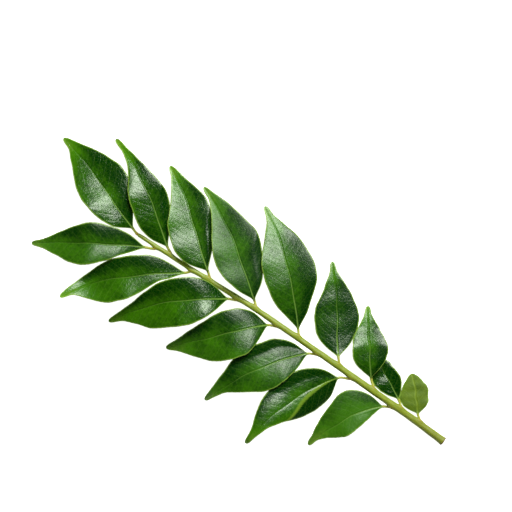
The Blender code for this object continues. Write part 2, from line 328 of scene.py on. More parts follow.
@dataclass(frozen=True)
class Leaflet:
    """One leaflet. Places are in mm in the sprig's frame and directions in degrees from +X."""

    name: str
    row: Row
    joint: float
    base: tuple[float, float]
    tip: tuple[float, float]
    leaves_at: float
    ends_at: float
    left: Numbers  # mm, its half-widths at the stations between the two ends
    right: Numbers
    crown: float = 4.5  # mm that the midrib arches up
    crest: float = 0.45  # where along the blade the arch is highest
    tip_height: float = 0.2  # mm
    lift: float = 0.0  # mm that the tip turns up again
    fold: tuple[float, float, float] = (5.0, 5.0, 5.0)  # degrees at the base, the middle and the tip
    roll: tuple[float, float, float] = (12.0, 12.0, 12.0)  # degrees, its left margin up
    camber: float = 14.0  # degrees that a half turns down between the midrib and its margin
    creases: tuple[Crease, ...] = ()
    wave: float = 0.3  # mm that the margins ripple
    tone: float = 0.5  # 0 is the deepest green and 1 the lightest
    satin: float = 0.0  # 0 is glossy and 1 satin
    midrib: float = 1.0  # how much the midrib shows
    face: Face = Face.UPPER
    seed: int = 1
    stations: Numbers = (0.0, 0.1, 0.2, 0.35, 0.5, 0.65, 0.8, 0.9, 1.0)
    end_widths: tuple[float, float] = (0.0, 1.15)
    base_rise: float = -0.3
    stalk_radius: float = 0.46
    thickness: float = 0.32
    vein_spacing: float = 3.1
    ridge_height: float = 0.42  # mm below the midrib
    groove_depth: float = 0.09  # mm above the midrib
    shoulder_height: float = 0.07  # mm on each side of the groove
    swell_above: float = 0.025  # mm between side veins
    swell_below: float = 0.05
    tooth_spacing: float = 1.6
    tooth_height: float = 0.06
    tip_roundness: int = 34  # the higher, the blunter
    end_closing: int = 40
    stalk_rows: int = 16
    blade_rows: int = 150
    half_columns: int = 26

    def length(self) -> float:
        """The straight distance from the base of the blade to its tip, in mm."""
        return float(np.linalg.norm(np.subtract(self.tip, self.base)))

    def midline(self, rachis: Rachis) -> tuple[Array, Array, Array]:
        """The line from inside the rachis, along the stalk and the midrib, to the tip. In plan both are
        Bezier curves. The midrib's height is a fall with t^1.6, plus the arch ((t/c)^c ((1-t)/(1-c))^(1-c))^2
        with its crest at c, plus a lift with the square of the distance into the last part.

        Args:
            rachis: The stalk that the leaflet grows from.

        Returns:
            The places in mm, their unit directions in plan, and each row's place along the blade, which
            runs from -1 to 0 on the stalk and from 0 to 1 on the blade.
        """
        middle, radius = rachis.at(self.joint)
        side = self.row.value
        outwards = np.array([1.0 - abs(side), side, 0.0])
        start = middle + outwards * (abs(side) * radius * 0.55 - (1 - abs(side)) * 0.6)
        first, last = np.array(self.base), np.array(self.tip)
        length = self.length()
        base = np.array([*first, middle[2] + self.base_rise])
        drop = self.tip_height - base[2]

        handles = (first + heading(self.leaves_at) * length / 3, last - heading(self.ends_at) * length / 3)
        t = eased(self.blade_rows)
        plan, along = bezier((first, *handles, last), t)
        c = self.crest
        arch = ((t / c) ** c * ((1 - t) / (1 - c)) ** (1 - c)) ** 2
        height = base[2] + drop * t**1.6 + self.crown * arch + self.lift * np.clip((t - 0.65) / 0.35, 0, 1) ** 2
        height = height + 0.12 * ripple(t, self.seed, (2.3, 4.1)) * np.sin(np.pi * t)

        reach = float(np.linalg.norm(first - start[:2]))
        slope = min(0.35, 3 * self.crown / length)
        before = base - np.array([*heading(self.leaves_at), slope]) * reach * 0.4
        after = start + (outwards + np.array([0.5 * abs(side), 0, 0])) * reach * 0.3
        stations = np.linspace(-1, 0, self.stalk_rows, endpoint=False)
        stalk, stalk_along = bezier((start, after, before, base), stations + 1)

        path = np.concatenate([stalk, np.column_stack([plan, height])])
        along = np.concatenate([stalk_along[:, :2], along])
        along /= np.linalg.norm(along, axis=1)[:, None]
        t = np.concatenate([stations, t])
        sway = 0.22 * ripple(np.clip(t, 0, 1), self.seed + 40, (1.4, 2.9)) * np.sin(np.pi * np.clip(t, 0, 1))
        path[:, 0] -= along[:, 1] * sway
        path[:, 1] += along[:, 0] * sway
        return path, along, t

    def width_at(self, t: Array, sign: int) -> Array:
        """The half-width on one side, in mm: a smooth curve through the stations, rounded off at the tip,
        with fine rounded teeth, joined to the stalk's radius by the root of the sum of their squares.

        Args:
            t: Each row's place along the blade, below 0 on the stalk.
            sign: 1 for the left half and -1 for the right one.

        Returns:
            The half-widths.
        """
        blade_t = np.clip(t, 0, 1)
        widths = self.left if sign > 0 else self.right
        widths = (self.end_widths[0], *widths, self.end_widths[1])
        blade = np.maximum(through(self.stations, widths, blade_t), 0) * np.sqrt(1 - blade_t**self.tip_roundness)
        wander = 0.15 * ripple(blade_t, self.seed + 20 + sign, (6, 11))
        teeth = np.abs(np.sin(np.pi * (blade_t * self.length() / self.tooth_spacing + wander)))
        lively = smooth(blade_t, 0.05, 0.2) * (1 - smooth(blade_t, 0.9, 0.985))
        uneven = 0.07 * ripple(blade_t, self.seed + 60 + 7 * sign, (3, 5.5, 8))
        blade = blade + lively * (self.tooth_height * (teeth - 0.6) + uneven)
        swelling = 0.16 * np.exp(-(((t + 0.86) / 0.16) ** 2)) + 0.05 * np.exp(-(((t + 0.05) / 0.12) ** 2))
        stalk = (self.stalk_radius + swelling) * (1 - smooth(t, 0.0, 0.12))
        return np.sqrt(stalk**2 + blade**2)

    def tilts(self, t: Array, sign: int) -> Array:
        """How many degrees one half rises from the midrib: the fold, and the roll on the left or against it."""
        knots, blade_t = (0.0, 0.5, 1.0), np.clip(t, 0, 1)
        return through(knots, self.fold, blade_t) + sign * through(knots, self.roll, blade_t)

    def flatness(self, t: Array) -> Array:
        """How far the round stalk has become a flat blade: 0 on the stalk and 1 on the blade, for each row."""
        return smooth(t, -0.02, 0.09)[:, None]

    def half(self, path: Array, along: Array, t: Array, sign: int) -> Array:
        """One half of the middle surface. Across it runs an arc, whose angle starts at the half's tilt and
        turns down by the camber, and by a crease's own turn beyond the crease. The margin ripples with the
        square of the distance from the midrib.

        Args:
            path: The midline's places in mm.
            along: The midline's unit directions in plan.
            t: Each row's place along the blade.
            sign: 1 for the left half and -1 for the right one.

        Returns:
            The places in mm, (rows, columns, 3), from beside the midrib to the margin.
        """
        across = np.column_stack([-along[:, 1], along[:, 0], np.zeros(len(along))])
        blade, blade_t = self.flatness(t), np.clip(t, 0, 1)
        w = eased(self.half_columns + 1)
        step, between = np.diff(w), (w[1:] + w[:-1]) / 2
        tilt = self.tilts(t, sign)[:, None] * blade
        angle = np.radians(tilt + self.camber * (0.5 - between)[None, :] * blade)
        for crease in self.creases:
            if crease.sign == sign:
                angle = angle - np.radians(crease.turn * crease.beyond(blade_t, between) * blade)
        flat = (self.width_at(t, sign)[:, None] / np.cos(angle) * step[None, :])[..., None]
        moves = (across[:, None, :] * sign * np.cos(angle)[..., None] + UP * np.sin(angle)[..., None]) * flat
        places = path[:, None, :] + np.cumsum(moves, axis=1)
        edge = ripple(blade_t, self.seed + 80 + 11 * sign, (1.6, 3.2))[:, None] * (w[1:] ** 2)[None, :]
        return places + (self.wave * edge * np.sin(np.pi * blade_t)[:, None] * blade)[..., None] * UP

    def veins(self, t: Array, w: Array, d: Array) -> Array:
        """Places counted in side veins, which run where along - 0.75d - 0.02d^2 is a whole number of spacings."""
        s = (t[:, None] * self.length() - 0.75 * d - 0.02 * d**2) / self.vein_spacing
        return s + np.where(w[None, :] > 0, 0.0, 0.5) + 0.12 * np.sin(5 * t)[:, None]

    def relief(
        self, t: Array, w: Array, from_midrib: Array, from_margin: Array, vein: Array
    ) -> tuple[Array, Array]:
        """How far the two skins stand off the middle surface: a circle's height on the stalk, and on the
        blade half the thickness, with the midrib's groove and shoulders above, its ridge below, and a swell
        |sin|^0.6 between side veins.

        Args:
            t: Each row's place along the blade.
            w: Each column's place across it.
            from_midrib: Each place's distance from the midrib in mm.
            from_margin: Its distance from the margin in mm.
            vein: The number of the nearest side vein.

        Returns:
            The upper skin's distances and the lower skin's, in mm.
        """
        blade, blade_t = self.flatness(t), np.clip(t, 0, 1)
        fade = smooth(from_midrib, 0.2, 1.2) * smooth(from_margin, 0.2, 1.6) * smooth(blade_t, 0.04, 0.2)[:, None]
        swell = (np.abs(np.sin(np.pi * vein)) ** 0.6 - 0.7) * fade
        stalk_round = (self.stalk_radius + 0.1 * np.exp(-(((t + 0.86) / 0.16) ** 2)))[:, None]
        rounded = stalk_round * np.sqrt(1 - np.abs(w) ** 2)[None, :]
        sheet = self.thickness / 2 * np.sqrt(1 - np.abs(w) ** 10)[None, :]
        rib = self.midrib * (1 - 0.8 * blade_t)[:, None]
        groove = self.groove_depth * np.exp(-((from_midrib / 0.2) ** 2))
        shoulders = self.shoulder_height * np.exp(-(((from_midrib - 0.55) / 0.3) ** 2))
        ridge = self.ridge_height * rib * np.exp(-((from_midrib / 0.4) ** 2))
        close = np.sqrt(1 - blade_t**self.end_closing)[:, None]
        on_top = sheet - rib * (groove - shoulders) + self.swell_above * swell
        above = (rounded * (1 - blade) + on_top * blade) * close
        below = (rounded * (1 - blade) + (sheet + ridge - self.swell_below * swell) * blade) * close
        above[:, [0, -1]] = below[:, [0, -1]] = 0
        return above, below

    def build(self, rachis: Rachis, offset: Array) -> bpy.types.Object:
        """The mesh: the two halves of the middle surface side by side, and a skin on each side of it that
        stands off along its normals. Both skins meet at the margins.

        Args:
            rachis: The stalk that the leaflet grows from.
            offset: What moves the sprig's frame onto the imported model, in mm.

        Returns:
            The object.
        """
        path, along, t = self.midline(rachis)
        left, right = (self.half(path, along, t, sign) for sign in (1, -1))
        middle = np.concatenate([left[:, ::-1], path[:, None, :], right], axis=1)
        w = eased(self.half_columns + 1)
        w = np.concatenate([w[:0:-1], -w])
        wide = np.where(w[None, :] > 0, self.width_at(t, 1)[:, None], self.width_at(t, -1)[:, None])
        from_midrib = wide * np.abs(w)[None, :]
        from_margin = wide * (1 - np.abs(w))[None, :]

        normal = np.cross(np.gradient(middle, axis=1), np.gradient(middle, axis=0))
        size = np.linalg.norm(normal, axis=2, keepdims=True)
        normal = normal / np.where(size > 1e-9, size, 1)
        normal[-1] = normal[-2]
        blade_t = np.clip(t, 0, 1)
        vein = self.veins(blade_t, w, from_midrib)
        above, below = self.relief(t, w, from_midrib, from_margin, vein)
        top = middle + normal * above[..., None]
        bottom = middle - normal * below[..., None]
        rings = np.concatenate([top, bottom[:, -2:0:-1]], axis=1)

        def around(values: Array) -> Array:
            """Values across the blade, carried round the ring of its two skins."""
            whole = np.broadcast_to(values, middle.shape[:2])
            return np.concatenate([whole, whole[:, -2:0:-1]], axis=1)

        upper = np.ones(middle.shape[:2])
        upper[:, [0, -1]] = 0.5
        upper = np.concatenate([upper, np.zeros((len(t), len(w) - 2))], axis=1)
        if self.face is Face.UNDER:
            upper = 1 - upper
        strip = sum((crease.band(t, w * crease.sign, wide) for crease in self.creases), np.zeros((1, 1)))
        marks = {
            "along": around(t[:, None]),
            "from_midrib": around(from_midrib),
            "from_margin": around(from_margin),
            "upper": upper,
            "vein": around(vein),
            "tone": around(self.tones_and_painted_shade(blade_t, w)),
            "strip": around(np.clip(strip, 0, 1)),
            "satin": around(np.full((1, 1), self.satin)),
            "midrib": around(np.full((1, 1), self.midrib)),
        }
        return skin_mesh(self.name + "_skin", (rings + offset) * MM, marks)

    def tones_and_painted_shade(self, t: Array, w: Array) -> Array:
        """How light the green is over the blade: its own tone, lighter towards the tip and the margin, and uneven
        in soft patches, with painted shade that makes it darker on the right half, past a crease and at the base.

        Args:
            t: Places along the blade.
            w: Places across it, from 1 at the left margin to -1 at the right one.

        Returns:
            The tone, for each t and w.
        """
        patches = ripple(t, self.seed + 3, (1.2, 2.1, 3.7))[:, None] * np.cos(2.5 * w)[None, :]
        tip = 0.7 * smooth(t, 0.66, 1.0)[:, None]
        # painted shade: darker at the base
        base = 0.2 * (1 - smooth(t, 0.0, 0.5))[:, None]
        # painted shade: darker on the right half, where less of the light falls
        right = 0.34 * smooth(-w, 0.15, 0.75)[None, :]
        # painted shade: darker past a crease, where the turned-down part lies in shade
        turned = sum(crease.beyond(t, w * crease.sign) for crease in self.creases)
        return self.tone + 0.08 * patches + tip - base - right + 0.06 * np.abs(w)[None, :] ** 3 - 0.5 * turned


class Value:
    """A number that varies over a surface: one output socket, which takes part in sums."""

    def __init__(self, graph: "Graph", socket: bpy.types.NodeSocket) -> None:
        """Keeps the graph and the socket."""
        self.graph = graph
        self.socket = socket

    def __add__(self, other: "Value | float") -> "Value":
        """self + other."""
        return self.graph.maths("ADD", self, other)

    __radd__ = __add__

    def __mul__(self, other: "Value | float") -> "Value":
        """self * other."""
        return self.graph.maths("MULTIPLY", self, other)

    __rmul__ = __mul__

    def __sub__(self, other: "Value | float") -> "Value":
        """self - other."""
        return self.graph.maths("SUBTRACT", self, other)

    def __rsub__(self, other: "Value | float") -> "Value":
        """other - self."""
        return self.graph.maths("SUBTRACT", other, self)

    def step(self, low: float, high: float) -> "Value":
        """A smooth step over this value.

        Args:
            low: Where it is 0.
            high: Where it is 1, above or below low.

        Returns:
            The step.
        """
        if low > high:
            return 1 - self.step(high, low)
        inputs = {"Value": self, "From Min": low, "From Max": high}
        return self.graph.read("ShaderNodeMapRange", "Result", {"interpolation_type": "SMOOTHSTEP"}, inputs)


class Graph:
    """The node tree of one material or world, made from expressions."""

    def __init__(self, owner: bpy.types.Material | bpy.types.World) -> None:
        """Empties the tree of its owner.

        Args:
            owner: The material or the world.
        """
        owner.use_nodes = True
        self.owner, self.tree = owner, owner.node_tree
        self.tree.nodes.clear()

    def node(self, kind: str, settings: dict | None = None, inputs: dict | None = None) -> bpy.types.Node:
        """Adds a node.

        Args:
            kind: The node's type.
            settings: Its settings, which are set first.
            inputs: Values, colours or links by the names or numbers of its sockets.

        Returns:
            The node.
        """
        made = self.tree.nodes.new(kind)
        for key, value in (settings or {}).items():
            setattr(made, key, value)
        for key, value in (inputs or {}).items():
            if isinstance(value, Value):
                self.tree.links.new(value.socket, made.inputs[key])
            else:
                made.inputs[key].default_value = value
        return made

    def read(self, kind: str, output: str | int, settings: dict | None = None, inputs: dict | None = None) -> Value:
        """Adds a node and gives one of its outputs."""
        return Value(self, self.node(kind, settings, inputs).outputs[output])

    def maths(self, operation: str, *values: "Value | float") -> Value:
        """A Math node on values and numbers."""
        return self.read("ShaderNodeMath", 0, {"operation": operation}, dict(enumerate(values)))

    def mark(self, name: str) -> Value:
        """A value that the mesh keeps on its points."""
        return self.read("ShaderNodeAttribute", "Fac", {"attribute_name": name})

    def place(self) -> Value:
        """The place on the object, in metres."""
        return self.read("ShaderNodeTexCoord", "Object")

    def noise(self, scale: float, detail: float = 2.0, roughness: float = 0.5, at: Value | None = None) -> Value:
        """Soft noise around 0.5 with so many lumps to the metre, read at the place on the object or another."""
        inputs = {"Vector": at or self.place(), "Scale": scale, "Detail": detail, "Roughness": roughness}
        return self.read("ShaderNodeTexNoise", "Fac", None, inputs)

    def cells(self, scale: float, feature: str = "F1") -> Value:
        """The distance from the nearest of scattered points, or with DISTANCE_TO_EDGE from a cell's wall."""
        inputs = {"Vector": self.place(), "Scale": scale}
        return self.read("ShaderNodeTexVoronoi", "Distance", {"feature": feature}, inputs)

    def mix(self, a: "Value | tuple", b: "Value | tuple", factor: "Value | float") -> Value:
        """A colour between a and b."""
        return self.read("ShaderNodeMix", 2, {"data_type": "RGBA"}, {0: factor, 6: a, 7: b})

    def bump(self, height: Value, distance: float, strength: float) -> Value:
        """A bent normal from a height, of which 1 stands out by the distance in metres."""
        inputs = {"Strength": strength, "Distance": distance, "Height": height}
        return self.read("ShaderNodeBump", "Normal", None, inputs)

    def finish(self, shader: dict) -> bpy.types.Material:
        """Adds the Principled shader with those inputs and its output, and gives the material."""
        self.output("ShaderNodeOutputMaterial", self.read("ShaderNodeBsdfPrincipled", "BSDF", None, shader))
        return self.owner

    def output(self, kind: str, surface: Value) -> None:
        """Adds the output node of that kind."""
        self.node(kind, None, {"Surface": surface})


def colour(red: int, green: int, blue: int) -> Colour:
    """A colour as it looks on a display, made linear.

    Args:
        red: Its red, from 0 to 255.
        green: Its green.
        blue: Its blue.

    Returns:
        The linear colour, opaque.
    """
    display = np.array([red, green, blue]) / 255
    linear = np.where(display <= 0.04045, display / 12.92, ((display + 0.055) / 1.055) ** 2.4)
    return (*linear.tolist(), 1.0)


@dataclass(frozen=True)
class LeafletFinish:
    """The surface of a leaflet: a waxy deep green upper side, a matte paler underside, fine pale veins, a thin
    light margin, partly its own paler colour and partly painted light shining through the thin edge, and a
    yellow-green stalk."""

    deep: Colour = colour(2, 50, 0)
    green: Colour = colour(58, 116, 1)
    light: Colour = colour(104, 150, 34)
    vein: Colour = colour(120, 160, 66)
    rim: Colour = colour(146, 182, 70)
    strip: Colour = colour(118, 154, 40)
    scorch: Colour = colour(104, 96, 30)
    under: Colour = colour(94, 122, 8)
    under_deep: Colour = colour(76, 104, 4)
    under_vein: Colour = colour(116, 142, 28)
    stalk: Colour = colour(172, 178, 70)
    joint: Colour = colour(176, 140, 52)
    upper_roughness: float = 0.21
    satin_roughness: float = 0.4
    under_roughness: float = 0.62
    sheen: Colour = (0.9, 1.0, 0.83, 1.0)
    refraction: float = 1.43
    grain_height: float = 0.00022  # metres
    grain_strength: float = 0.45
    broad_patches: float = 160.0  # to the metre, like the next ones
    small_patches: float = 900.0
    mottling: float = 950.0
    net_cells: float = 900.0
    glands: float = 2300.0
    grain: float = 3600.0

    def upper_side(self, g: Graph, marks: dict[str, Value]) -> Value:
        """The colour of the upper side.

        Args:
            g: The material's graph.
            marks: The mesh's own values by name, with side_vein and net, which are 1 on those veins.

        Returns:
            The colour.
        """
        broad, small = g.noise(self.broad_patches, 3), g.noise(self.small_patches, 3)
        # the tone mark carries painted shade on the right halves, at the bases and past creases, as well as each
        # leaflet's own tone
        tone = marks["tone"] + 0.5 * (broad - 0.5) + 0.55 * (small - 0.5)
        base = g.mix(self.deep, self.green, tone.step(0.1, 0.85))
        base = g.mix(base, self.light, tone.step(0.75, 1.5))
        base = g.mix(base, self.light, 0.12 * marks["net"])
        base = g.mix(base, self.vein, 0.1 * marks["side_vein"])
        glands = g.cells(self.glands).step(0.22, 0.1)
        base = g.mix(base, self.deep, 0.35 * glands)
        reach = 0.34 - 0.24 * marks["along"]
        midrib = (marks["from_midrib"] - reach).step(0.05, -0.12)
        strength = g.maths("MAXIMUM", 0.8 - 0.9 * marks["along"], 0.1)
        return g.mix(base, self.vein, midrib * strength * marks["midrib"])

    def under_side(self, g: Graph, marks: dict[str, Value]) -> Value:
        """The colour of the underside.

        Args:
            g: The material's graph.
            marks: The mesh's own values by name, with side_vein and net, which are 1 on those veins.

        Returns:
            The colour.
        """
        base = g.mix(self.under_deep, self.under, g.noise(260, 3).step(0.3, 0.7))
        base = g.mix(base, self.under_vein, 0.3 * marks["net"])
        base = g.mix(base, self.under_vein, 0.5 * marks["side_vein"])
        return g.mix(base, self.under_vein, 0.85 * marks["from_midrib"].step(0.5, 0.2))

    def material(self) -> bpy.types.Material:
        """The material that all leaflets share.

        Returns:
            The material, which reads the values that each leaflet's mesh keeps.
        """
        g = Graph(bpy.data.materials.new("leaflet"))
        marks = {name: g.mark(name) for name in BLADE_MARKS}
        upper = marks["upper"].step(0.3, 0.7)
        stalk = marks["along"].step(0.03, -0.04)

        wander = 0.1 * (g.noise(420, 2) - 0.5)
        phase = g.maths("FRACT", marks["vein"] + wander)
        off_vein = g.maths("ABSOLUTE", phase - 0.5)
        fade = marks["from_margin"].step(0.3, 1.8) * marks["from_midrib"].step(0.1, 0.6)
        marks["side_vein"] = side_vein = off_vein.step(0.43, 0.5) * fade
        marks["net"] = net = g.cells(self.net_cells, "DISTANCE_TO_EDGE").step(0.09, 0.0)

        base = g.mix(self.under_side(g, marks), self.upper_side(g, marks), upper)
        base = g.mix(base, self.strip, 0.8 * marks["strip"])
        # the light margin: partly its own paler colour and partly painted light shining through the thin edge
        rim = marks["from_margin"].step(0.55, 0.3)
        speckle = g.noise(700, 2).step(0.62, 0.72)
        base = g.mix(base, g.mix(self.rim, self.scorch, speckle), rim * 0.6)
        joint = marks["along"].step(-0.62, -0.85)
        stem = g.mix(self.stalk, self.joint, joint * 0.7 + 0.3 * g.noise(1500, 2).step(0.5, 0.75))
        base = g.mix(base, stem, stalk)

        mottle = g.noise(self.mottling, 2.5, 0.6)
        gloss = self.upper_roughness + 0.16 * (mottle - 0.5) + 0.04 * side_vein
        gloss = gloss + (self.satin_roughness - self.upper_roughness) * marks["satin"]
        roughness = self.under_roughness + (gloss - self.under_roughness) * upper
        roughness = roughness + 0.12 * stalk
        height = 0.6 * mottle + 0.17 * g.noise(self.grain, 2) + 0.17 * g.cells(self.glands)
        height = height - 0.15 * side_vein - 0.12 * net
        normal = g.bump(height, self.grain_height, self.grain_strength)
        shader = {"Base Color": base, "Roughness": roughness, "Normal": normal}
        return g.finish(shader | {"IOR": self.refraction, "Specular Tint": self.sheen})


@dataclass(frozen=True)
class RachisFinish:
    """The surface of the central stalk: a smooth yellow-green skin with a fine grain along it, olive and
    flecked towards the cut end, brownish at the joints, with a pale cut face in a brown rim."""

    skin: Colour = colour(146, 162, 38)
    shade: Colour = colour(120, 142, 24)
    olive: Colour = colour(128, 138, 34)
    fleck: Colour = colour(112, 84, 34)
    joint: Colour = colour(172, 152, 54)
    rim: Colour = colour(126, 88, 34)
    pith: Colour = colour(196, 196, 132)
    roughness: float = 0.46
    refraction: float = 1.45
    grain_height: float = 0.00012  # metres
    grain_strength: float = 0.6
    stretch: tuple[float, float, float] = (0.16, 1.0, 1.0)  # the grain runs along the stalk
    olive_reach: float = 34.0  # mm from the cut end

    def material(self) -> bpy.types.Material:
        """The stalk's material.

        Returns:
            The material, which reads the values that the stalk's mesh keeps.
        """
        g = Graph(bpy.data.materials.new("rachis"))
        place = g.read("ShaderNodeMapping", "Vector", None, {"Vector": g.place(), "Scale": self.stretch})
        grain = g.noise(2600, 3, 0.6, place)
        base = g.mix(self.shade, self.skin, grain.step(0.25, 0.7))
        lower = g.mark("distance").step(self.olive_reach, 2)
        base = g.mix(base, self.olive, 0.75 * lower)
        flecks = g.noise(1400, 4, 0.7, place).step(0.6, 0.72) * (0.25 + 0.6 * lower)
        base = g.mix(base, self.fleck, flecks)
        node = g.mark("node")
        base = g.mix(base, self.joint, 0.5 * node.step(0.3, 1.0))
        cracks = node.step(0.5, 0.9) * g.noise(2100, 3).step(0.56, 0.66)
        base = g.mix(base, self.fleck, 0.6 * cracks)
        core = g.mark("core")
        face = g.mix(self.pith, self.rim, core.step(0.6, 0.9))
        face = g.mix(face, self.fleck, 0.5 * g.noise(3000, 2).step(0.5, 0.7))
        base = g.mix(base, face, g.mark("cut").step(0.3, 0.7))
        base = g.mix(base, self.rim, 0.7 * g.mark("distance").step(0.7, 0.1))
        roughness = self.roughness + 0.2 * (grain - 0.5)
        height = 0.7 * grain + 0.3 * g.noise(5200, 2)
        normal = g.bump(height, self.grain_height, self.grain_strength)
        return g.finish({"Base Color": base, "Roughness": roughness, "Normal": normal, "IOR": self.refraction})


@dataclass(frozen=True)
class Sprig:
    """The whole sprig: the rachis and its leaflets, and what each is dressed in."""

    rachis: Rachis
    leaflets: tuple[Leaflet, ...]

    def build(self) -> None:
        """Builds every piece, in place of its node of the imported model."""
        offset = self.rachis.offset()
        log.info("sprig frame is moved by %s mm", np.round(offset, 2).tolist())
        joints = [(leaf.joint, leaf.row.value) for leaf in self.leaflets]
        stalk = self.rachis.build(joints, offset)
        self.place(stalk, "rachis", "rachis", RachisFinish().material())
        green = LeafletFinish().material()
        for leaf in self.leaflets:
            slot = "pale_leaflet" if leaf.face is Face.UNDER else "leaflet"
            self.place(leaf.build(self.rachis, offset), leaf.name, slot, green)

    def place(self, piece: bpy.types.Object, node: str, slot: str, material: bpy.types.Material) -> None:
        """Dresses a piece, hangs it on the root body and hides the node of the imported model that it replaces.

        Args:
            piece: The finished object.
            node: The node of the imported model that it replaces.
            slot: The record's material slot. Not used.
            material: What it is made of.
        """
        piece.data.materials.append(material)
        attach(piece, "root")
        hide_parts(node)
        log.info("%s: %d faces", piece.name, len(piece.data.polygons))


